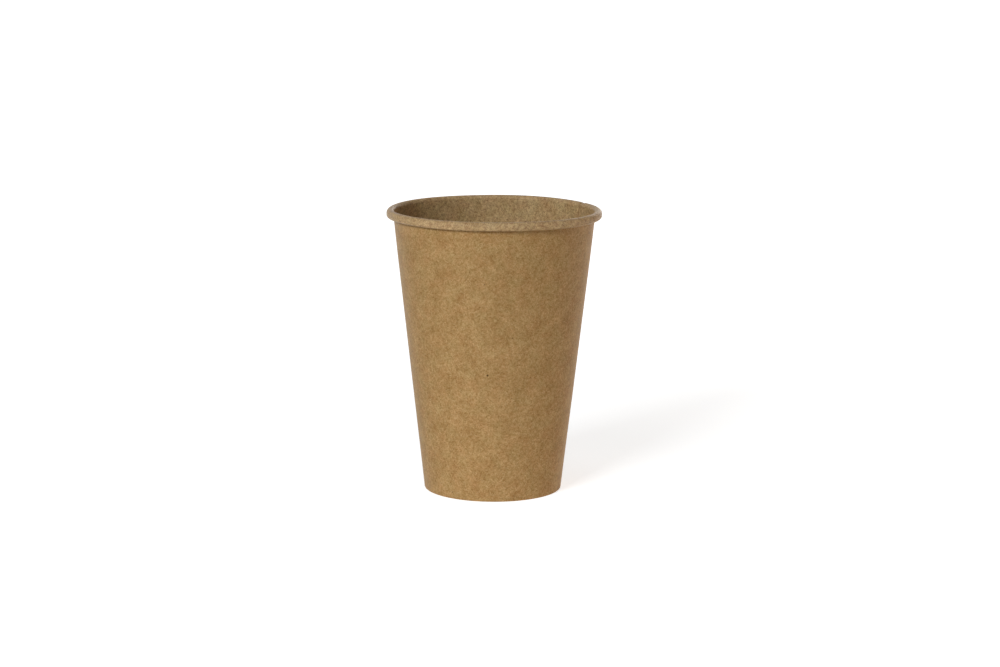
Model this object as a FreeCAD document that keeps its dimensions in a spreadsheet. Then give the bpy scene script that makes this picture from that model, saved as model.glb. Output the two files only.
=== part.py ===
import FreeCAD, Part
import os
from math import cos, radians, sin, tan

import Sketcher

# Paper coffee cup, in millimetres, +Z up, with its axis on Z and its foot on Z = 0.
# The cup is two pieces of paper. A fan-shaped blank is wound into a cone and glued along a
# lap seam. Its top edge is rolled outwards into the bead, and its bottom edge is folded
# inwards and up as a hem. A round blank with its edge turned down is the base, and that
# skirt is held between the wall and the hem.
DRIVING = {
    "rim_radius": 40.0,  # outermost radius of the bead
    "cup_height": 105.6,  # foot to the top of the bead
    "wall_lean": 6.56,  # degrees between the wall and the vertical
    "paper_thickness": 0.40,  # sheet of the wall
    "disc_thickness": 0.30,  # sheet of the base
    "roll_bore": 0.30,  # hollow left in the bead where the seam runs through it
    "roll_gap": 0.10,  # between the bead's tucked end and the wall, along the seam
    "bead_drop": 0.38,  # how much taller the bead is than wide
    "tuck_length": 0.80,  # straight end of the roll inside the bead
    "hem_height": 6.20,  # top of the folded hem above the foot
    "fold_radius": 0.35,  # outer corners of the fold that the cup stands on
    "base_recess": 7.20,  # underside of the base above the foot
    "disc_bend": 0.45,  # inner radius of the base's turned-down edge
    "skirt_clearance": 0.10,  # between the skirt's cut edge and the doubled fold
    "seam_direction": 31.0,  # degrees from +X to the seam's inner cut edge, seen from above
    "lap_angle": 12.0,  # degrees over which the two ends of the wall lie on each other
    "ramp_angle": 5.0,  # degrees over which the outer end climbs onto the inner one
}

# Sizes that follow from the driving ones. Inside the bead the doubled sheet lies three
# times side by side, at the wall, at the tucked end and at the outer side. The single
# sheet is rolled less tightly, so its tucked end stands off by half a sheet more.
WORKED = {
    "bead_width": "=6 * Sizes.paper_thickness + Sizes.roll_bore + Sizes.roll_gap",
    "bead_radius": "=bead_width / 2",
    "bead_height": "=bead_width + Sizes.bead_drop",
    "bead_centre_r": "=Sizes.rim_radius - bead_radius",
    "bead_centre_z": "=Sizes.cup_height - bead_radius",
    "bead_foot_z": "=Sizes.cup_height - bead_height",
    "lean_cos": "=cos(Sizes.wall_lean * 1 deg)",
    "lean_sin": "=sin(Sizes.wall_lean * 1 deg)",
    "roll_room": "=bead_radius * (1 + lean_cos) + (bead_height - bead_radius) * lean_sin"
    " - Sizes.roll_gap",
    "roll_single": "=(roll_room - 1.5 * Sizes.paper_thickness) / (1 + lean_cos + lean_sin)",
    "roll_double": "=(roll_room - 2 * Sizes.paper_thickness) / (1 + lean_cos + lean_sin)",
    "skirt_foot_z": "=2 * Sizes.paper_thickness + Sizes.skirt_clearance",
    "skirt_foot_r": "=bead_centre_r - bead_radius / lean_cos"
    " - (bead_centre_z - skirt_foot_z) * lean_sin / lean_cos",
}

# Which point of an edge a constraint holds, and the sketch's own two axes.
START, END, CENTRE = range(1, 4)
VERTICAL_AXIS, HORIZONTAL_AXIS = range(-2, 0)
ORIGIN = (HORIZONTAL_AXIS, START)


def make_sheet(document, label, cells):
    """One sheet with a named cell for each size, from the top down."""
    sheet = document.addObject("Spreadsheet::Sheet", label)
    for row, (alias, content) in enumerate(cells.items(), start=1):
        sheet.set(f"A{row}", alias)
        sheet.set(f"B{row}", str(content))
        sheet.setAlias(f"B{row}", alias)
    return sheet


def origin_plane(body, role):
    return next(f for f in body.Origin.OriginFeatures if f.Role == role)


def upright_sketch(body, name, direction):
    """A sketch on the half plane at that direction about Z: x is radius and y is height."""
    sketch = body.newObject("Sketcher::SketchObject", name)
    sketch.AttachmentSupport = (origin_plane(body, "XZ_Plane"), [""])
    sketch.MapMode = "FlatFace"
    sketch.AttachmentOffset = FreeCAD.Placement(
        FreeCAD.Vector(), FreeCAD.Rotation(FreeCAD.Vector(0, 1, 0), 1.0)
    )
    sketch.setExpression("AttachmentOffset.Rotation.Angle", direction)
    return sketch


def line(a, b):
    return Part.LineSegment(FreeCAD.Vector(*a, 0), FreeCAD.Vector(*b, 0))


def arc(centre, radius, first, last):
    """Arc from the first angle to the last one, in degrees, counter-clockwise."""
    circle = Part.Circle(FreeCAD.Vector(*centre, 0), FreeCAD.Vector(0, 0, 1), radius)
    return Part.ArcOfCircle(circle, radians(first), radians(last))


def close_outline(sketch, outline, smooth):
    """Adds the outline's edges and joins each to the next, tangent where it is smooth.

    An edge is its curve with the ends at which the outline enters and leaves it."""
    sketch.addGeometry([curve for curve, enter, leave in outline], False)
    count = len(outline)
    for i in range(count):
        following = (i + 1) % count
        kind = "Tangent" if i in smooth else "Coincident"
        sketch.addConstraint(
            Sketcher.Constraint(kind, i, outline[i][2], following, outline[following][1])
        )


def bind(sketch, kind, where, value, expression):
    """Adds one dimension, at its present value, and ties it to the sheets."""
    index = sketch.addConstraint(Sketcher.Constraint(kind, *where, value))
    sketch.setExpression(f"Constraints[{index}]", expression)


def sheet_section(body, name, direction, near, far, floor, roll, size, worked):
    """Section of the wall's paper: hem, foot, wall and bead in one outline.

    near and far say how far its two faces lie from the cup's inner face. floor is the
    thickness that the fold has at the foot, and roll the radius of the bead's lower turn.
    Each is a pair of its value and its expression."""
    lean = radians(size["wall_lean"])
    normal = (cos(lean), -sin(lean))
    along = (sin(lean), cos(lean))
    c1 = (worked["bead_centre_r"], worked["bead_centre_z"])
    c2 = (size["rim_radius"] - roll[0], worked["bead_foot_z"] + roll[0])
    wall = 180.0 - size["wall_lean"]
    fold = size["fold_radius"]
    hem_far = -(size["disc_thickness"] + far[0])
    hem_near = -(size["disc_thickness"] + near[0])

    def face(offset, height):
        """Point at that height on the line parallel to the cup's inner face."""
        radius = c1[0] - (worked["bead_radius"] - offset) / cos(lean)
        return (radius - (c1[1] - height) * tan(lean), height)

    def beside(point, distance):
        return (point[0] + distance * normal[0], point[1] + distance * normal[1])

    def onwards(point, distance):
        return (point[0] + distance * along[0], point[1] + distance * along[1])

    top_near = worked["bead_radius"] - near[0]
    top_far = worked["bead_radius"] - far[0]
    low_near = roll[0] - near[0]
    low_far = roll[0] - far[0]
    hem_top = face(hem_near, size["hem_height"])
    hem_top_far = beside(hem_top, near[0] - far[0])
    inner_corner = face(hem_far + fold, fold)
    outer_corner = face(far[0] - fold, fold)
    turn_near = beside(c2, -low_near)
    turn_far = beside(c2, -low_far)
    tuck_near = onwards(turn_near, size["tuck_length"])
    tuck_far = onwards(turn_far, size["tuck_length"])
    side_near = size["rim_radius"] - near[0]
    side_far = size["rim_radius"] - far[0]
    channel = face(near[0], floor[0])
    channel_hem = face(hem_near, floor[0])
    (hem_face, hem_turn, foot, foot_turn, outside, top_in, side_in, low_in, tuck_in,
     tuck_end, tuck_out, low_out, side_out, top_out, inside, channel_foot, hem_back,
     hem_end) = range(18)
    outline = [
        (line(hem_top_far, beside(inner_corner, -fold)), START, END),
        (arc(inner_corner, fold, wall, 270), START, END),
        (line((inner_corner[0], 0), (outer_corner[0], 0)), START, END),
        (arc(outer_corner, fold, 270, wall + 180), START, END),
        (line(beside(outer_corner, fold), beside(c1, -top_far)), START, END),
        (arc(c1, top_far, 0, wall), END, START),
        (line((side_far, c1[1]), (side_far, c2[1])), START, END),
        (arc(c2, low_far, wall, 360), END, START),
        (line(turn_far, tuck_far), START, END),
        (line(tuck_far, tuck_near), START, END),
        (line(tuck_near, turn_near), START, END),
        (arc(c2, low_near, wall, 360), START, END),
        (line((side_near, c2[1]), (side_near, c1[1])), START, END),
        (arc(c1, top_near, 0, wall), START, END),
        (line(beside(c1, -top_near), channel), START, END),
        (line(channel, channel_hem), START, END),
        (line(channel_hem, hem_top), START, END),
        (line(hem_top, hem_top_far), START, END),
    ]
    smooth = {hem_face, hem_turn, foot, foot_turn, outside, top_in, side_in, low_in,
              tuck_out, low_out, side_out, top_out}

    sketch = upright_sketch(body, name, direction)
    close_outline(sketch, outline, smooth)
    for flat in (foot, channel_foot):
        sketch.addConstraint(Sketcher.Constraint("Horizontal", flat))
    for upright in (side_in, side_out):
        sketch.addConstraint(Sketcher.Constraint("Vertical", upright))
    for leaning in (hem_face, tuck_in, tuck_out, inside, hem_back):
        sketch.addConstraint(Sketcher.Constraint("Parallel", outside, leaning))
    for cut, cut_face in ((tuck_end, tuck_in), (hem_end, hem_back)):
        sketch.addConstraint(Sketcher.Constraint("Perpendicular", cut, cut_face))
    for inner, outer in ((top_in, top_out), (low_in, low_out)):
        sketch.addConstraint(Sketcher.Constraint("Coincident", inner, CENTRE, outer, CENTRE))
    sketch.addConstraint(Sketcher.Constraint("PointOnObject", foot, START, HORIZONTAL_AXIS))
    sketch.addConstraint(Sketcher.Constraint("Equal", hem_turn, foot_turn))

    spread = f"({far[1]} - {near[1]})"
    bind(sketch, "DistanceX", (*ORIGIN, top_out, CENTRE), c1[0], "Worked.bead_centre_r")
    bind(sketch, "DistanceY", (*ORIGIN, top_out, CENTRE), c1[1], "Worked.bead_centre_z")
    bind(sketch, "Radius", (top_out,), top_near, f"Worked.bead_radius - {near[1]}")
    bind(sketch, "Radius", (top_in,), top_far, f"Worked.bead_radius - {far[1]}")
    bind(sketch, "Angle", (outside,), radians(90) - lean, "(90 - Sizes.wall_lean) * 1 deg")
    bind(sketch, "DistanceY", (*ORIGIN, low_out, CENTRE), c2[1],
         f"Worked.bead_foot_z + {roll[1]}")
    bind(sketch, "Radius", (low_out,), low_near, f"{roll[1]} - {near[1]}")
    bind(sketch, "Distance", (tuck_out,), size["tuck_length"], "Sizes.tuck_length")
    bind(sketch, "Distance", (hem_back, START, inside), size["disc_thickness"] + 2 * near[0],
         f"Sizes.disc_thickness + 2 * {near[1]}")
    bind(sketch, "Distance", (hem_face, START, hem_back), far[0] - near[0], spread)
    bind(sketch, "DistanceY", (*ORIGIN, channel_foot, START), floor[0], floor[1])
    bind(sketch, "Radius", (hem_turn,), fold, "Sizes.fold_radius")
    bind(sketch, "DistanceY", (*ORIGIN, hem_back, END), size["hem_height"], "Sizes.hem_height")
    return sketch


def turn_about_axis(body, name, sketch, angle):
    """Turns the sketch's outline about Z, counter-clockwise seen from above."""
    turned = body.newObject("PartDesign::Revolution", name)
    turned.Profile = sketch
    turned.ReferenceAxis = (sketch, ["V_Axis"])
    turned.Angle = 360.0
    if angle:
        turned.setExpression("Angle", angle)
    return turned


def make_sidewall(document, size, worked):
    """The wall: one layer nearly all round, two at the lap, and the ramp between them."""
    body = document.addObject("PartDesign::Body", "sidewall")
    nothing = (0.0, "0")
    one = (size["paper_thickness"], "Sizes.paper_thickness")
    two = (2 * size["paper_thickness"], "2 * Sizes.paper_thickness")
    roll_single = (worked["roll_single"], "Worked.roll_single")
    roll_double = (worked["roll_double"], "Worked.roll_double")
    seam = "Sizes.seam_direction"

    layer = sheet_section(body, "layer_section", f"{seam} + Sizes.lap_angle",
                          nothing, one, one, roll_single, size, worked)
    turn_about_axis(body, "layer", layer, "360 - Sizes.lap_angle - Sizes.ramp_angle")
    lap = sheet_section(body, "lap_section", seam,
                        nothing, two, two, roll_double, size, worked)
    turn_about_axis(body, "lap", lap, "Sizes.lap_angle")

    ramp_foot = sheet_section(body, "ramp_foot_section", f"{seam} - Sizes.ramp_angle",
                              nothing, one, one, roll_single, size, worked)
    ramp_top = sheet_section(body, "ramp_top_section", seam,
                             one, two, one, roll_double, size, worked)
    ramp = body.newObject("PartDesign::AdditiveLoft", "ramp")
    ramp.Profile = ramp_foot
    ramp.Sections = [ramp_top]
    ramp.Ruled = True
    return body


def make_base_disc(document, size, worked):
    """The base: a flat disc whose edge turns down along the wall as a skirt."""
    body = document.addObject("PartDesign::Body", "base_disc")
    lean = radians(size["wall_lean"])
    normal = (cos(lean), -sin(lean))
    sheet = size["disc_thickness"]
    bend = size["disc_bend"]
    under = size["base_recess"]
    foot = (worked["skirt_foot_r"], worked["skirt_foot_z"])
    bend_z = under - bend
    bend_r = foot[0] + (bend_z - foot[1]) * tan(lean) - (bend + sheet) / cos(lean)
    centre = (bend_r, bend_z)

    def around(distance):
        return (centre[0] + distance * normal[0], centre[1] + distance * normal[1])

    foot_inner = (foot[0] - sheet / cos(lean), foot[1])
    lean_angle = -size["wall_lean"]
    top, bend_out, skirt, skirt_edge, skirt_back, bend_in, underside, axis = range(8)
    outline = [
        (line((0, under + sheet), (bend_r, under + sheet)), START, END),
        (arc(centre, bend + sheet, lean_angle, 90), END, START),
        (line(around(bend + sheet), foot), START, END),
        (line(foot, foot_inner), START, END),
        (line(foot_inner, around(bend)), START, END),
        (arc(centre, bend, lean_angle, 90), START, END),
        (line((bend_r, under), (0, under)), START, END),
        (line((0, under), (0, under + sheet)), START, END),
    ]
    sketch = upright_sketch(body, "disc_section", "Sizes.seam_direction")
    close_outline(sketch, outline, {top, bend_out, skirt_back, bend_in})
    for flat in (top, skirt_edge, underside):
        sketch.addConstraint(Sketcher.Constraint("Horizontal", flat))
    sketch.addConstraint(Sketcher.Constraint("PointOnObject", axis, START, VERTICAL_AXIS))
    sketch.addConstraint(Sketcher.Constraint("Vertical", axis))
    sketch.addConstraint(Sketcher.Constraint("Parallel", skirt, skirt_back))
    sketch.addConstraint(
        Sketcher.Constraint("Coincident", bend_in, CENTRE, bend_out, CENTRE)
    )
    bind(sketch, "Angle", (skirt_back,), radians(90) - lean, "(90 - Sizes.wall_lean) * 1 deg")
    bind(sketch, "DistanceX", (*ORIGIN, skirt, END), foot[0], "Worked.skirt_foot_r")
    bind(sketch, "DistanceY", (*ORIGIN, skirt, END), foot[1], "Worked.skirt_foot_z")
    bind(sketch, "Distance", (skirt_back, START, skirt), sheet, "Sizes.disc_thickness")
    bind(sketch, "DistanceY", (*ORIGIN, axis, START), under, "Sizes.base_recess")
    bind(sketch, "Radius", (bend_in,), bend, "Sizes.disc_bend")
    turn_about_axis(body, "disc", sketch, None)
    return body


def check_document(document, bodies):
    for thing in document.Objects:
        if "Invalid" in thing.State or "Error" in thing.State:
            raise RuntimeError(f"{thing.Label} failed: {thing.State}")
    for body in bodies:
        if body.Shape.isNull() or not body.Shape.isValid():
            raise RuntimeError(f"{body.Label} has no valid shape")
        if len(body.Shape.Solids) != 1:
            raise RuntimeError(f"{body.Label} is {len(body.Shape.Solids)} solids")


def main():
    os.makedirs("parts", exist_ok=True)
    document = FreeCAD.newDocument("paper_cup")
    make_sheet(document, "Sizes", DRIVING)
    document.recompute()
    worked_sheet = make_sheet(document, "Worked", WORKED)
    document.recompute()
    worked = {alias: float(worked_sheet.get(alias)) for alias in WORKED}
    bodies = [make_sidewall(document, DRIVING, worked), make_base_disc(document, DRIVING, worked)]
    document.recompute()
    check_document(document, bodies)
    for body in bodies:
        box = body.Shape.BoundBox
        print(body.Label, "volume", round(body.Shape.Volume, 2), "faces", len(body.Shape.Faces),
              "box", [round(v, 3) for v in (box.XLength, box.YLength, box.ZMin, box.ZMax)])
        body.Shape.exportStep(f"parts/{body.Label}.step")


main()
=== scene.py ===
import bpy
from math import cos, pi, radians, sin, tan

import bmesh
import numpy as np
from mathutils import Matrix, Vector


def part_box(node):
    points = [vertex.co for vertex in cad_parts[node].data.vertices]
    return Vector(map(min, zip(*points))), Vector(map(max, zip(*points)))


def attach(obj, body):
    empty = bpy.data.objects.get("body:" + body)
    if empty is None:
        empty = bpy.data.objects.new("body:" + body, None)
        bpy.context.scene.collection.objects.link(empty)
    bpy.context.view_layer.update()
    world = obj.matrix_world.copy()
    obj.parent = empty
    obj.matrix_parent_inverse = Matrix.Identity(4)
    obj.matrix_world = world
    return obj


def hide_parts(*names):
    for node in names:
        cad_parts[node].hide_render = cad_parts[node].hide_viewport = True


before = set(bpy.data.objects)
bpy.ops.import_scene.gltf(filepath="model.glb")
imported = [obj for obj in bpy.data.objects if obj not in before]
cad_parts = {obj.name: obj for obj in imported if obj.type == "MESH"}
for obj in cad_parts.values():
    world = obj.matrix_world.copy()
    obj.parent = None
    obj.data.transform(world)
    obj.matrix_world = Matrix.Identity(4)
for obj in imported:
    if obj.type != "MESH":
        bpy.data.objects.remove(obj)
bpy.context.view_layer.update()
wall_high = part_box("sidewall")[1]

MM = 0.001

# The cup's sizes, in metres. The height and the rim are read from the frame, and the rest
# are the sizes of the paper and of its folds.
CUP_HEIGHT = wall_high[2]
RIM_RADIUS = min(wall_high[0], wall_high[1])
WALL_LEAN = radians(6.56)
PAPER = 0.40 * MM
DISC_PAPER = 0.30 * MM
ROLL_GAP = 0.25 * MM
BEAD_RADIUS = 1.40 * MM
BEAD_HEIGHT = 3.18 * MM
TUCK_LENGTH = 0.80 * MM
HEM_HEIGHT = 6.20 * MM
FOLD_RADIUS = 0.35 * MM
BASE_RECESS = 7.20 * MM
DISC_BEND = 0.45 * MM
SKIRT_CLEARANCE = 0.10 * MM
SEAM_DIRECTION = radians(31.0)
LAP_ANGLE = radians(12.0)
RAMP_ANGLE = radians(5.0)
CRUSH_ANGLE = radians(3.0)  # over which the press has thinned the inner cut edge
CRUSHED = 0.60  # share of the paper's thickness that is gone at that edge
LAP_GLUE = 0.01 * MM  # keeps the two glued faces from lying in one place

# The camera that the photograph was taken with, found from the cup's outline.
IMAGE_WIDTH = 1000
FOCAL_PIXELS = 2617.8
SENSOR_WIDTH = 36.0
CAMERA_DISTANCE = 0.97868
CAMERA_ELEVATION = radians(10.715)
CAMERA_YAW = radians(0.141)
CAMERA_PITCH = radians(0.320)
CAMERA_ROLL = radians(0.359)

LINED, BARE, CUT, PRESSED = range(4)  # the meshes' material numbers

LEAN_COS = cos(WALL_LEAN)
LEAN_SIN = sin(WALL_LEAN)
LEAN_TAN = tan(WALL_LEAN)
BEAD_CENTRE = (RIM_RADIUS - BEAD_RADIUS, CUP_HEIGHT - BEAD_RADIUS)
BEAD_FOOT = CUP_HEIGHT - BEAD_HEIGHT
ROLL_ROOM = BEAD_RADIUS * (1 + LEAN_COS) + (BEAD_HEIGHT - BEAD_RADIUS) * LEAN_SIN - ROLL_GAP
ROLL_SINGLE = (ROLL_ROOM - 1.5 * PAPER) / (1 + LEAN_COS + LEAN_SIN)
ROLL_DOUBLE = (ROLL_ROOM - 2 * PAPER) / (1 + LEAN_COS + LEAN_SIN)


def smooth_step(low, high, x):
    """0 below low, 1 above high, and 3t2 - 2t3 of the way t between them."""
    way = np.clip((x - low) / (high - low), 0, 1)
    return way * way * (3 - 2 * way)


def on_wall(offset, height):
    """Radius at that height of the cone that lies offset outside the cup's inner face."""
    tangent = BEAD_CENTRE[0] - (BEAD_RADIUS - offset) / LEAN_COS
    return tangent - (BEAD_CENTRE[1] - height) * LEAN_TAN


def arc_points(centre_r, centre_z, radius, first, last, count):
    """Points of a circular arc between two angles, one row for each section."""
    angle = np.linspace(first, last, count)[None, :]
    return centre_r + radius * np.cos(angle), centre_z + radius * np.sin(angle)


def line_points(start, end, count):
    """Points evenly spaced from start to end, one row for each section."""
    way = np.linspace(0, 1, count)[None, :]
    return start[0] + (end[0] - start[0]) * way, start[1] + (end[1] - start[1]) * way


# Rows along the paper's path and sections round the cup.
WALL_ROWS = 64
TURN_ROWS = 20
HEM_ROWS = 8
FOLD_ROWS = 8
SIDE_ROWS = 3
TUCK_ROWS = 4
LAP_SECTIONS = 8
WALL_SECTIONS = 270
RAMP_SECTIONS = 12
SHARED_ROWS = 4  # where the hem, the fold's three parts and the wall meet
BEAD_ROW = HEM_ROWS + 3 * FOLD_ROWS + WALL_ROWS - SHARED_ROWS - 1  # the roll begins there


def paper_face(offset, roll, lift, fold_floor, outer):
    """One face of the wall's paper, from the hem's top to the tucked end of the bead.

    The path is the hem's line, the fold under the foot, the wall's leaning line, the arc
    over the bead's top, its upright side, the arc under it and the tucked line. offset is
    the face's distance from the cup's inner face, one value for each section round the
    cup, so every arc's radius is the bead's radius less that offset. lift takes some of the
    offset away again on the bead's outside, where the press has evened the lap out."""
    count = len(offset)
    k = offset[:, None]
    roll = roll[:, None]
    lift = lift[:, None]
    hem = -(DISC_PAPER + k)
    zero = np.zeros((count, 1))
    wall_side = pi - WALL_LEAN
    if outer:
        under = fold_floor[:, None]
        turn_z = under + FOLD_RADIUS
        inner_r = on_wall(hem + FOLD_RADIUS, turn_z)
        outer_r = on_wall(k - FOLD_RADIUS, turn_z)
        hem_foot = (inner_r - FOLD_RADIUS * LEAN_COS, turn_z + FOLD_RADIUS * LEAN_SIN)
        wall_foot = (outer_r + FOLD_RADIUS * LEAN_COS, turn_z - FOLD_RADIUS * LEAN_SIN)
        fold = [
            arc_points(inner_r, turn_z, FOLD_RADIUS, wall_side, 1.5 * pi, FOLD_ROWS),
            line_points((inner_r, under), (outer_r, under), FOLD_ROWS),
            arc_points(outer_r, turn_z, FOLD_RADIUS, -0.5 * pi, -WALL_LEAN, FOLD_ROWS),
        ]
    else:
        floor = fold_floor[:, None]
        hem_foot = (on_wall(hem, floor), floor)
        wall_foot = (on_wall(k, floor), floor)
        fold = [line_points(hem_foot, wall_foot, 3 * FOLD_ROWS - 2)]
    hem_top = (on_wall(hem, HEM_HEIGHT), HEM_HEIGHT + zero)
    top_radius = BEAD_RADIUS - k
    wall_top = (BEAD_CENTRE[0] - top_radius * LEAN_COS, BEAD_CENTRE[1] + top_radius * LEAN_SIN)
    low_radius = roll - k
    low_r = RIM_RADIUS - roll
    low_z = BEAD_FOOT + roll
    turn = (low_r - low_radius * LEAN_COS, low_z + low_radius * LEAN_SIN)
    tuck = (turn[0] + TUCK_LENGTH * LEAN_SIN, turn[1] + TUCK_LENGTH * LEAN_COS)
    side = RIM_RADIUS - k + lift
    rising = lift * smooth_step(0, 1, np.linspace(0, 1, TURN_ROWS))
    falling = rising[:, ::-1]
    pieces = [
        line_points(hem_top, hem_foot, HEM_ROWS),
        *fold,
        line_points(wall_foot, wall_top, WALL_ROWS),
        arc_points(BEAD_CENTRE[0], BEAD_CENTRE[1] + zero, top_radius + rising, wall_side, 0,
                   TURN_ROWS),
        line_points((side, BEAD_CENTRE[1] + zero), (side, low_z), SIDE_ROWS),
        arc_points(low_r, low_z, low_radius + falling, 2 * pi, wall_side, TURN_ROWS),
        line_points(turn, tuck, TUCK_ROWS),
    ]
    kept = [0] + [1] * (len(pieces) - 1)
    radius = np.concatenate([p[0][:, first:] for p, first in zip(pieces, kept)], axis=1)
    height = np.concatenate([p[1][:, first:] for p, first in zip(pieces, kept)], axis=1)
    return radius, height


WALL_SWING = 0.13 * MM
RIM_SWING = 0.12 * MM
FREE_WALL = (12 * MM, 40 * MM)  # heights between which the wall gets free of the stiff hem
BEAD_HOLD = (85 * MM, 103 * MM)  # heights between which the bead takes hold of it
# A wave's share, its number round the cup, its phase at the foot and its turn per metre.
WALL_WAVES = ((0.40, 2, 0.6, 0.0), (0.25, 3, 2.1, 14.0), (0.15, 5, 4.0, -22.0), (0.08, 9, 1.0, 30.0))
# A wave's share, its number round the rim and the direction of one crest.
RIM_WAVES = ((0.6, 2, radians(83)), (0.4, 5, radians(69)))


def hand_of_the_press(turn, height):
    """How far the real paper lies from the true cone: radial and upright shifts in metres.

    The wall bulges by sums of slow waves round the cup that fade out at the foot, and the
    bead rises and falls by slower ones. At the bead both only draw inwards and down."""
    free = smooth_step(*FREE_WALL, height)
    bead = smooth_step(*BEAD_HOLD, height)
    waves = sum(
        share * np.sin(number * turn + phase + climb * height)
        for share, number, phase, climb in WALL_WAVES
    )
    highest = sum(wave[0] for wave in WALL_WAVES)
    rise = sum(share * np.cos(number * (turn - crest)) for share, number, crest in RIM_WAVES)
    radial = WALL_SWING * free * (waves - highest * bead)
    upright = RIM_SWING * bead * (rise - 1.0)
    return radial, upright


def solid_between(name, near, far, blank, materials):
    """A closed sheet from its two faces, each a grid of points by section and by row.

    The grids are joined along both long edges and across both ends. blank holds each
    row's place on the flat paper as the UV map."""
    sections, rows = near.shape[:2]
    points = np.concatenate([near, far[:, ::-1]], axis=1).reshape(-1, 3)
    flat = np.concatenate([blank, blank[:, ::-1]], axis=1).reshape(-1, 2)
    loop = 2 * rows
    i = np.arange(sections - 1)[:, None] * loop
    j = np.arange(loop)[None, :]
    following = (j + 1) % loop
    quads = np.stack([i + j, i + following, i + loop + following, i + loop + j], axis=-1)
    cut = (j == rows - 1) | (j == loop - 1)
    kind = np.select([cut, j >= rows, j >= BEAD_ROW], [CUT, BARE, PRESSED], LINED)
    kind = np.broadcast_to(kind, quads.shape[:2]).reshape(-1)
    row = np.arange(rows - 1)
    first = np.stack([row, loop - 1 - row, loop - 2 - row, row + 1], axis=-1)
    last = first[:, ::-1] + (sections - 1) * loop
    quads = np.concatenate([quads.reshape(-1, 4), first, last])
    kind = np.concatenate([kind, np.full(2 * (rows - 1), CUT)])
    return make_mesh(name, points, quads, kind, flat, materials)


SHARP_ANGLE = radians(38)


def make_mesh(name, points, quads, kind, flat, materials):
    """A mesh object at the origin from point, quad, material number and UV arrays."""
    mesh = bpy.data.meshes.new(name)
    mesh.vertices.add(len(points))
    mesh.vertices.foreach_set("co", points.ravel().astype(np.float32))
    mesh.loops.add(quads.size)
    mesh.loops.foreach_set("vertex_index", quads.ravel().astype(np.int32))
    mesh.polygons.add(len(quads))
    mesh.polygons.foreach_set("loop_start", np.arange(0, quads.size, 4, dtype=np.int32))
    mesh.polygons.foreach_set("material_index", kind.astype(np.int32))
    mesh.polygons.foreach_set("use_smooth", np.ones(len(quads), dtype=bool))
    layer = mesh.uv_layers.new(name="paper_map")
    layer.data.foreach_set("uv", flat[quads.ravel()].ravel().astype(np.float32))
    mesh.update(calc_edges=True)
    mesh.validate()
    mesh.set_sharp_from_angle(angle=SHARP_ANGLE)
    for material in materials:
        mesh.materials.append(material)
    piece = bpy.data.objects.new(name, mesh)
    bpy.context.scene.collection.objects.link(piece)
    return piece


def flat_blank(turn, length):
    """Where each point lies on the flat fan-shaped blank: a polar map about the cone's tip."""
    tip = on_wall(0, 0) / LEAN_SIN
    angle = turn[:, None] * LEAN_SIN
    reach = tip + length
    return np.stack([reach * np.cos(angle), reach * np.sin(angle)], axis=-1)


def make_sidewall(materials):
    """The wall's blank wound once round, with its outer end climbing onto its inner end.

    A section is a row of points at one direction round the cup. The offset of the sheet
    from the cup's inner face is 0 until the ramp, rises by one thickness on it and stays
    there over the lap."""
    start = SEAM_DIRECTION
    lap_end = start + LAP_ANGLE
    ramp = start + 2 * pi - RAMP_ANGLE
    turn = np.concatenate([
        np.linspace(start, start + CRUSH_ANGLE, LAP_SECTIONS, endpoint=False),
        np.linspace(start + CRUSH_ANGLE, lap_end, LAP_SECTIONS, endpoint=False),
        np.linspace(lap_end, ramp, WALL_SECTIONS, endpoint=False),
        np.linspace(ramp, start + 2 * pi, RAMP_SECTIONS, endpoint=False),
        np.linspace(start + 2 * pi, lap_end + 2 * pi, RAMP_SECTIONS),
    ])
    climb = smooth_step(ramp, start + 2 * pi, turn)
    far_offset = PAPER + climb * (PAPER + LAP_GLUE)
    crushed = PAPER * CRUSHED
    at_edge = 1 - smooth_step(start, start + CRUSH_ANGLE, turn)
    behind_edge = 1 - smooth_step(start + 2 * pi, start + 2 * pi + CRUSH_ANGLE, turn)
    near_offset = far_offset - PAPER + crushed * at_edge
    lift = crushed * (at_edge + climb * behind_edge)
    in_lap = 1 - smooth_step(lap_end, lap_end + RAMP_ANGLE, turn) + climb
    roll = ROLL_SINGLE + (ROLL_DOUBLE - ROLL_SINGLE) * in_lap
    fold_lift = PAPER * (1 - smooth_step(lap_end, lap_end + RAMP_ANGLE, turn))

    near_r, near_z = paper_face(near_offset, roll, lift, fold_lift + PAPER, False)
    far_r, far_z = paper_face(far_offset, roll, lift, fold_lift, True)

    step = np.hypot(np.diff(near_r, axis=1), np.diff(near_z, axis=1)).mean(axis=0)
    length = np.concatenate([[0], np.cumsum(step)])
    blank = flat_blank(turn, length[None, :])

    def in_space(radius, height):
        """Points in space from radii and heights, with the press's shifts added."""
        radial, upright = hand_of_the_press(turn[:, None], height)
        radius = radius + radial
        return np.stack([
            radius * np.cos(turn)[:, None], radius * np.sin(turn)[:, None], height + upright
        ], axis=-1)

    return solid_between("cup_wall", in_space(near_r, near_z), in_space(far_r, far_z),
                         blank, materials)


DISC_SIDES = 256
DISC_SAG = 0.25 * MM
FLAT_ROWS = 24
BEND_ROWS = 12
SKIRT_ROWS = 10
MIDDLE_SHARE = 0.0004  # of the flat's area, inside the first ring


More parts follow.
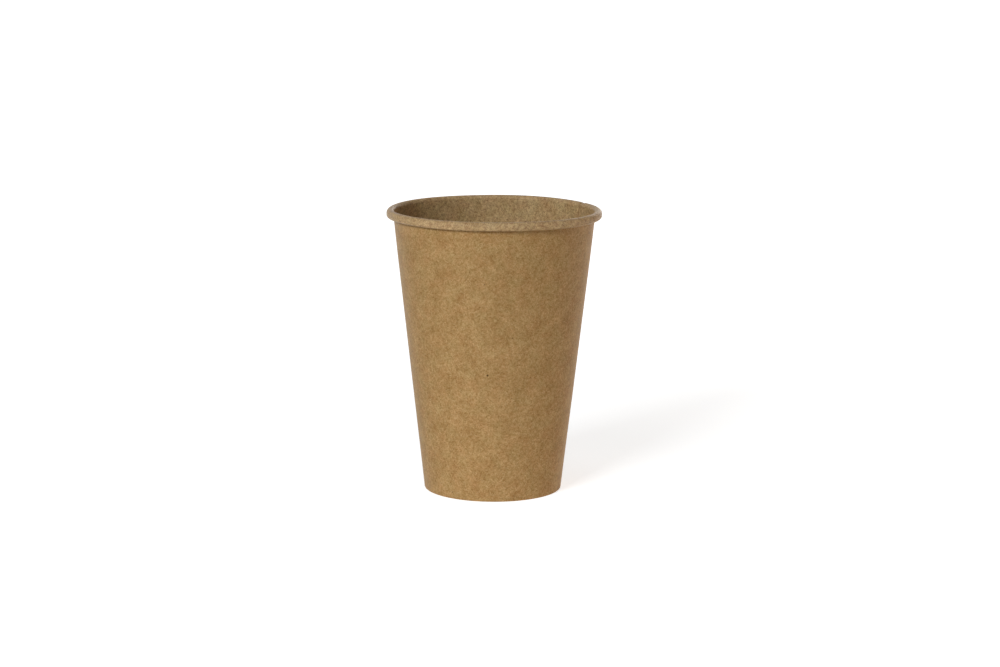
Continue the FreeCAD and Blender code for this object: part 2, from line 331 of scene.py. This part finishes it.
def make_base_disc(materials):
    """The base, turned about the axis: a flat disc, a bend and a skirt along the wall.

    Each face is a row of points from the axis outwards and down, turned round the cup in
    equal steps; the two faces meet at the skirt's cut edge and at the axis."""
    skirt_z = 2 * PAPER + SKIRT_CLEARANCE
    bend_z = BASE_RECESS - DISC_BEND
    bend_r = on_wall(0, bend_z) - (DISC_BEND + DISC_PAPER) / LEAN_COS

    def face(radius):
        """Flat at the bend's height plus radius with a sag of DISC_SAG (1 - spread2), then
        the bend, then down the skirt."""
        top = bend_z + radius
        spread = np.sqrt(np.linspace(MIDDLE_SHARE, 1, FLAT_ROWS))
        flat_r = bend_r * spread
        sag = DISC_SAG * (1 - spread**2)
        angle = np.linspace(0.5 * pi, -WALL_LEAN, BEND_ROWS)[1:]
        skirt_end = on_wall(radius - DISC_BEND - DISC_PAPER, skirt_z)
        bend_end_r = bend_r + radius * LEAN_COS
        bend_end_z = bend_z - radius * LEAN_SIN
        way = np.linspace(0, 1, SKIRT_ROWS)[1:]
        radii = np.concatenate([
            flat_r, bend_r + radius * np.cos(angle), bend_end_r + (skirt_end - bend_end_r) * way
        ])
        heights = np.concatenate([
            top - sag, bend_z + radius * np.sin(angle), bend_end_z + (skirt_z - bend_end_z) * way
        ])
        return radii, heights

    upper_r, upper_z = face(DISC_BEND + DISC_PAPER)
    lower_r, lower_z = face(DISC_BEND)
    turn = np.linspace(0, 2 * pi, DISC_SIDES, endpoint=False)[:, None]
    profile_r = np.concatenate([upper_r, lower_r[::-1]])
    profile_z = np.concatenate([upper_z, lower_z[::-1]])
    rows = len(profile_r)
    ring = np.stack([
        profile_r * np.cos(turn), profile_r * np.sin(turn),
        np.broadcast_to(profile_z, (DISC_SIDES, rows)),
    ], axis=-1)
    points = np.concatenate([
        ring.reshape(-1, 3), [[0, 0, profile_z[0]], [0, 0, profile_z[-1]]]
    ])
    i = np.arange(DISC_SIDES)[:, None]
    after = (i + 1) % DISC_SIDES
    j = np.arange(rows - 1)[None, :]
    quads = np.stack([
        i * rows + j, i * rows + j + 1, after * rows + j + 1, after * rows + j
    ], axis=-1)
    rim = len(upper_r) - 1
    kind = np.select([j < rim, j == rim], [LINED, CUT], BARE)
    kind = np.broadcast_to(kind, quads.shape[:2])
    flat = points[:, :2]
    piece = make_mesh("cup_base", points, quads.reshape(-1, 4), kind.reshape(-1), flat,
                      materials)
    close_poles(piece.data, rows)
    return piece


def close_poles(mesh, rows):
    """Fans of triangles from the first and last ring of the disc to its two middle points."""
    work = bmesh.new()
    work.from_mesh(mesh)
    work.verts.ensure_lookup_table()
    upper, lower = work.verts[-2], work.verts[-1]
    layer = work.loops.layers.uv.verify()
    for i in range(DISC_SIDES):
        after = (i + 1) % DISC_SIDES
        top = work.faces.new((upper, work.verts[i * rows], work.verts[after * rows]))
        low = work.faces.new((
            lower, work.verts[(after + 1) * rows - 1], work.verts[(i + 1) * rows - 1]
        ))
        low.material_index = BARE
        for new in (top, low):
            new.smooth = True
            for loop in new.loops:
                loop[layer].uv = loop.vert.co.xy
    work.to_mesh(mesh)
    work.free()


def linear(code):
    """A linear colour from an sRGB hex code."""
    channels = [int(code[i:i + 2], 16) / 255 for i in (1, 3, 5)]
    return [c / 12.92 if c <= 0.04045 else ((c + 0.055) / 1.055) ** 2.4 for c in channels] + [1.0]


def add(tree, kind, inputs=None, **settings):
    """Adds one node with its settings and fills its inputs.

    An input goes by its name, or by its number where a name repeats. It takes a value, a
    socket, or a node, and then that node's first live output."""
    node = tree.nodes.new(kind)
    for key, value in settings.items():
        setattr(node, key, value)
    for key, value in (inputs or {}).items():
        if isinstance(key, int):
            socket = node.inputs[key]
        else:
            socket = next(s for s in node.inputs if s.enabled and s.name == key)
        if isinstance(value, bpy.types.Node):
            value = next(s for s in value.outputs if s.enabled)
        if isinstance(value, bpy.types.NodeSocket):
            tree.links.new(value, socket)
        else:
            socket.default_value = value
    return node


def new_material(name):
    """A material with an empty node tree."""
    material = bpy.data.materials.new(name)
    material.use_nodes = True
    material.node_tree.nodes.clear()
    return material, material.node_tree


RICHNESS = (0.77, 1.0, 1.40)  # each colour's part in a change of tone: dark pulp is richer
CLOUD_SIZE = 7.0 * MM
GRAIN_SIZE = 1.2 * MM
DRIFT_SIZE = 6.0 * MM
DRIFT_PLACE = (0.31, 0.17, 0.0)  # sets the drift of hue apart from the clouds
STREAK_STEP = (13 * MM, 7 * MM)  # sets the streaks of each direction apart
STREAK_RANGE = (0.66, 0.80)  # of the noise, over which a streak comes up
# Length and width of the streaks, and their directions on the flat blank in degrees.
BARK_FLECKS = (0.9 * MM, 0.40 * MM, (30, 88, 155))
PALE_STRANDS = (2.2 * MM, 0.34 * MM, (8, 52, 97, 141))
FLECK_SHARE = 0.50
STRAND_SHARE = 0.55
SPLINTER_SPACING = 13 * MM
SPLINTER_RADIUS = 0.22 * MM
SPLINTER_CHOICE = (0.72, 0.80)  # about one cell in four has a splinter
SPLINTER_BROWN = "#3A2308"
SPLINTER_SHARE = 0.85
OUTER_SHIVE = (0.23745, 0.13932)  # on the flat blank, the dark speck on the cup's front
INNER_SHIVE = (0.30900, 0.14600)
FIBRE_HEIGHT = 0.05 * MM
POLISH_SWING = 0.07


def streaks(tree, place, length, width, directions):
    """Where streaks of that length and width lie, 0 to 1, over each other in each direction."""
    low, high = STREAK_RANGE
    covered = 0.0
    for number, direction in enumerate(directions):
        turned = add(tree, "ShaderNodeMapping", {
            "Vector": place,
            "Location": (STREAK_STEP[0] * number, STREAK_STEP[1] * number, 0.0),
            "Rotation": (0.0, 0.0, radians(direction)),
            "Scale": (length, width, 1.0),
        }, vector_type="TEXTURE")
        streak = add(tree, "ShaderNodeTexNoise", {
            "Vector": turned, "Scale": 1.0, "Detail": 1.0, "Distortion": 0.5,
        }, noise_dimensions="2D")
        covered = add(tree, "ShaderNodeMath", {0: covered, 1: streak}, operation="MAXIMUM")
    return add(tree, "ShaderNodeMapRange", {"Value": covered, "From Min": low, "From Max": high})


def paper_board(name, pulp, ruddy, bark, pale, cloud, grain, roughness, specular, relief,
                shive_at):
    """Unbleached paper board: brown pulp with bark flecks and pale fibres lying every way.

    The eye gets an even warm brown that is cloudy over 4 to 9 mm, finely speckled under
    that, and drifts a little between an olive and a ruddy brown. Real fibres are 0.03 mm
    wide, too fine to show, so they are drawn 0.3 mm wide, as the eye gathers them."""
    material, tree = new_material(name)
    place = add(tree, "ShaderNodeUVMap", uv_map="paper_map")
    clouds = add(tree, "ShaderNodeTexNoise", {
        "Vector": place, "Scale": 1 / CLOUD_SIZE, "Detail": 1.0, "Roughness": 1.0,
    }, noise_dimensions="2D")
    grains = add(tree, "ShaderNodeTexNoise", {
        "Vector": place, "Scale": 1 / GRAIN_SIZE, "Detail": 2.0, "Roughness": 1.0,
    }, noise_dimensions="2D")
    drift_place = add(tree, "ShaderNodeMapping", {"Vector": place, "Location": DRIFT_PLACE})
    drift = add(tree, "ShaderNodeTexNoise", {
        "Vector": drift_place, "Scale": 1 / DRIFT_SIZE, "Detail": 1.0, "Roughness": 0.8,
    }, noise_dimensions="2D")
    hue = add(tree, "ShaderNodeMapRange", {"Value": drift, "From Min": 0.25, "From Max": 0.75})
    tone = add(tree, "ShaderNodeMix", {
        "Factor": hue, "A": linear(pulp), "B": linear(ruddy),
    }, data_type="RGBA")
    for pattern, swing in ((clouds, cloud), (grains, grain)):
        level = add(tree, "ShaderNodeMix", {
            "Factor": pattern,
            "A": [1 - swing * share for share in RICHNESS] + [1.0],
            "B": [1 + swing * share for share in RICHNESS] + [1.0],
        }, data_type="RGBA")
        tone = add(tree, "ShaderNodeMix", {"Factor": 1.0, "A": tone, "B": level},
                   data_type="RGBA", blend_type="MULTIPLY")
    flecks = streaks(tree, place, *BARK_FLECKS)
    strands = streaks(tree, place, *PALE_STRANDS)
    for pattern, share, colour in ((flecks, FLECK_SHARE, bark), (strands, STRAND_SHARE, pale)):
        amount = add(tree, "ShaderNodeMath", {0: pattern, 1: share}, operation="MULTIPLY")
        tone = add(tree, "ShaderNodeMix", {"Factor": amount, "A": tone, "B": linear(colour)},
                   data_type="RGBA")
    splinters = add(tree, "ShaderNodeTexVoronoi", {
        "Vector": place, "Scale": 1 / SPLINTER_SPACING,
    }, voronoi_dimensions="2D")
    chosen = add(tree, "ShaderNodeMapRange", {
        "Value": splinters.outputs["Color"],
        "From Min": SPLINTER_CHOICE[0], "From Max": SPLINTER_CHOICE[1],
    })
    near = add(tree, "ShaderNodeMapRange", {
        "Value": splinters.outputs["Distance"],
        "From Min": 1.3 * SPLINTER_RADIUS / SPLINTER_SPACING,
        "From Max": 0.5 * SPLINTER_RADIUS / SPLINTER_SPACING,
    })
    away = add(tree, "ShaderNodeVectorMath", {0: place, 1: (*shive_at, 0.0)},
               operation="DISTANCE")
    shive = add(tree, "ShaderNodeMapRange", {
        "Value": away, "From Min": 2.2 * SPLINTER_RADIUS, "From Max": 1.0 * SPLINTER_RADIUS,
    })
    marks = add(tree, "ShaderNodeMath", {0: chosen, 1: near}, operation="MULTIPLY")
    marks = add(tree, "ShaderNodeMath", {0: marks, 1: shive}, operation="MAXIMUM")
    dark = add(tree, "ShaderNodeMath", {0: marks, 1: SPLINTER_SHARE}, operation="MULTIPLY")
    tone = add(tree, "ShaderNodeMix", {"Factor": dark, "A": tone, "B": linear(SPLINTER_BROWN)},
               data_type="RGBA")
    height = add(tree, "ShaderNodeMath", {0: grains, 1: strands}, operation="ADD")
    bump = add(tree, "ShaderNodeBump", {
        "Strength": relief, "Distance": FIBRE_HEIGHT, "Height": height,
    })
    polish = add(tree, "ShaderNodeMapRange", {
        "Value": grains, "From Min": 0.3, "From Max": 0.7,
        "To Min": roughness - POLISH_SWING, "To Max": roughness + POLISH_SWING,
    })
    shader = add(tree, "ShaderNodeBsdfPrincipled", {
        "Base Color": tone, "Roughness": polish, "IOR": 1.5, "Specular IOR Level": specular,
        "Normal": bump,
    })
    add(tree, "ShaderNodeOutputMaterial", {"Surface": shader})
    return material


def make_materials():
    """The board's lined side, its bare side, its raw cut edge and its lined side where the roll
    has pressed it smooth, made paler there as a painted highlight for the bead's sheen, in the
    order of the meshes' material numbers."""
    lined = paper_board(
        "lined_board", pulp="#AD8C59", ruddy="#B18958", bark="#6E4E20", pale="#D6B485",
        cloud=0.22, grain=1.15, roughness=0.42, specular=0.03, relief=0.50, shive_at=INNER_SHIVE)
    bare = paper_board(
        "bare_board", pulp="#AA8756", ruddy="#AE8555", bark="#6B4B20", pale="#CAAA7A",
        cloud=0.27, grain=0.68, roughness=0.45, specular=0.07, relief=0.25, shive_at=OUTER_SHIVE)
    edge = paper_board(
        "cut_board_edge", pulp="#AC8B60", ruddy="#B08861", bark="#7C5E3C", pale="#CDB086",
        cloud=0.10, grain=0.40, roughness=0.80, specular=0.20, relief=0.30, shive_at=INNER_SHIVE)
    # The bead's board is paler than the lined board: a painted highlight for the sheen that the
    # lamps leave too weak on the bead.
    pressed = paper_board(
        "pressed_board_and_painted_highlight", pulp="#B59663", ruddy="#B89462", bark="#765726", pale="#E2C493",
        cloud=0.22, grain=1.00, roughness=0.36, specular=0.06, relief=0.50, shive_at=INNER_SHIVE)
    return [lined, bare, edge, pressed]


def make_camera():
    """The photograph's camera: aimed at the middle of the cup, then turned by the small
    yaw, pitch and roll that the cup's place in the photograph asks for."""
    back = Vector((0.0, -cos(CAMERA_ELEVATION), sin(CAMERA_ELEVATION)))
    look = -back
    right = Vector((1.0, 0.0, 0.0))
    up = right.cross(look)
    look, right = (look * cos(CAMERA_YAW) + right * sin(CAMERA_YAW),
                   right * cos(CAMERA_YAW) - look * sin(CAMERA_YAW))
    look, up = (look * cos(CAMERA_PITCH) + up * sin(CAMERA_PITCH),
                up * cos(CAMERA_PITCH) - look * sin(CAMERA_PITCH))
    right, up = (right * cos(CAMERA_ROLL) + up * sin(CAMERA_ROLL),
                 up * cos(CAMERA_ROLL) - right * sin(CAMERA_ROLL))
    place = back * CAMERA_DISTANCE + Vector((0.0, 0.0, CUP_HEIGHT / 2))
    data = bpy.data.cameras.new("camera")
    data.sensor_width = SENSOR_WIDTH
    data.lens = SENSOR_WIDTH * FOCAL_PIXELS / IMAGE_WIDTH
    camera = bpy.data.objects.new("camera", data)
    axes = Matrix((right, up, -look)).transposed().to_4x4()
    camera.matrix_world = Matrix.Translation(place) @ axes
    bpy.context.scene.collection.objects.link(camera)
    bpy.context.scene.camera = camera


FLOOR_REACH = 6.0
FLOOR_WHITE = (0.8, 0.8, 0.8, 1.0)
GLOW_DISTANCES = (0.10, 0.45)  # from the cup's foot, between which the glow grows
GLOW_STRENGTHS = (0.74, 1.0)
BOUNCE_PLACE = (0.0, -0.085, 0.0)
BOUNCE_DISTANCES = (0.03, 0.14)  # from that place, between which the bounce fades
BOUNCE_STRENGTH = 0.48


def seen_as_it_is(tree):
    """1 for the rays that look at a surface straight, in a mirror or through glass, else 0."""
    ray = add(tree, "ShaderNodeLightPath")
    seen = ray.outputs["Is Camera Ray"]
    for other in ("Is Glossy Ray", "Is Transmission Ray"):
        seen = add(tree, "ShaderNodeMath", {0: seen, 1: ray.outputs[other]}, operation="MAXIMUM")
    return seen


def make_floor():
    """A white studio sweep that keeps the cup's soft shadow.

    What it shows to the camera and in reflections is its own lit white and a glow on top,
    weaker near the cup so that the shadow stays, and full where the lamps don't reach. Just
    before the cup it also throws light up at the wall, as an overlit white table does."""
    reach = FLOOR_REACH
    corners = [(-reach, -reach, 0), (reach, -reach, 0), (reach, reach, 0), (-reach, reach, 0)]
    mesh = bpy.data.meshes.new("floor")
    mesh.from_pydata(corners, [], [(0, 1, 2, 3)])
    material, tree = new_material("white_studio_sweep")
    place = add(tree, "ShaderNodeTexCoord")
    away = add(tree, "ShaderNodeVectorMath", {0: place.outputs["Object"]}, operation="LENGTH")
    glow = add(tree, "ShaderNodeMapRange", {
        "Value": away, "From Min": GLOW_DISTANCES[0], "From Max": GLOW_DISTANCES[1],
        "To Min": GLOW_STRENGTHS[0], "To Max": GLOW_STRENGTHS[1],
    })
    before = add(tree, "ShaderNodeVectorMath", {0: place.outputs["Object"], 1: BOUNCE_PLACE},
                 operation="DISTANCE")
    bounce = add(tree, "ShaderNodeMapRange", {
        "Value": before, "From Min": BOUNCE_DISTANCES[0], "From Max": BOUNCE_DISTANCES[1],
        "To Min": BOUNCE_STRENGTH, "To Max": 0.0,
    })
    strength = add(tree, "ShaderNodeMix", {
        "Factor": seen_as_it_is(tree), "A": bounce, "B": glow,
    })
    white = add(tree, "ShaderNodeBsdfDiffuse", {"Color": FLOOR_WHITE})
    shine = add(tree, "ShaderNodeEmission", {"Strength": strength})
    both = add(tree, "ShaderNodeAddShader", {0: white, 1: shine})
    add(tree, "ShaderNodeOutputMaterial", {"Surface": both})
    mesh.materials.append(material)
    floor = bpy.data.objects.new("floor", mesh)
    bpy.context.scene.collection.objects.link(floor)


# Name, azimuth and elevation in degrees, distance, width and height in metres, watts, colour.
LAMPS = (
    ("left_softbox", -31, 24, 2.4, 0.9, 0.7, 40.5, "#F5FBFF"),
    ("right_softbox", 110, 15, 2.4, 0.8, 0.8, 6.6, "#FFECDA"),
    ("low_right_card", 98, -2.6, 0.4, 0.25, 0.08, 0.30, "#FFEEDA"),
    ("overhead_softbox", 0, 88, 2.4, 0.6, 0.6, 4.0, "#FFFFFF"),
    ("back_softbox", 165, 10, 2.4, 0.8, 0.8, 4.0, "#FFF4E8"),
)
AIM_SHARE = 0.6  # of the cup's height, where the lamps point
ROOM_LIGHT = 0.05  # the white room's light on surfaces, against 1 where it is seen


def add_softbox(name, azimuth, elevation, distance, width, height, watts, colour):
    """An area lamp that faces the cup's upper half. Azimuth is from the camera's side, to the
    right of the picture, in degrees."""
    data = bpy.data.lights.new(name, "AREA")
    data.shape = "RECTANGLE"
    data.size = width
    data.size_y = height
    data.energy = watts
    data.color = linear(colour)[:3]
    lamp = bpy.data.objects.new(name, data)
    turn = radians(azimuth)
    rise = radians(elevation)
    aim = Vector((0.0, 0.0, AIM_SHARE * CUP_HEIGHT))
    way = Vector((sin(turn) * cos(rise), -cos(turn) * cos(rise), sin(rise)))
    lamp.location = aim + distance * way
    lamp.rotation_euler = (-way).to_track_quat("-Z", "Y").to_euler()
    bpy.context.scene.collection.objects.link(lamp)


def make_light():
    """A large soft lamp high at the left, a weaker warm one a little behind the cup at the
    right, a small card low beside its foot there, a lamp overhead that reaches down to the
    base, a weak one for the cup's back, and a white room that is seen and mirrored more
    than it lights."""
    for lamp in LAMPS:
        add_softbox(*lamp)
    world = bpy.data.worlds.new("white_room")
    bpy.context.scene.world = world
    world.use_nodes = True
    tree = world.node_tree
    tree.nodes.clear()
    strength = add(tree, "ShaderNodeMapRange", {
        "Value": seen_as_it_is(tree), "To Min": ROOM_LIGHT, "To Max": 1.0,
    })
    room = add(tree, "ShaderNodeBackground", {"Color": (1.0, 1.0, 1.0, 1.0), "Strength": strength})
    add(tree, "ShaderNodeOutputWorld", {"Surface": room})
    bpy.context.scene.view_settings.view_transform = "Standard"


def dress():
    """The two pieces of paper, each in the place of its solid."""
    materials = make_materials()
    wall = make_sidewall(materials)
    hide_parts("sidewall")
    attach(wall, "root")
    base = make_base_disc(materials)
    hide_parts("base_disc")
    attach(base, "root")


dress()
make_floor()
make_light()
make_camera()
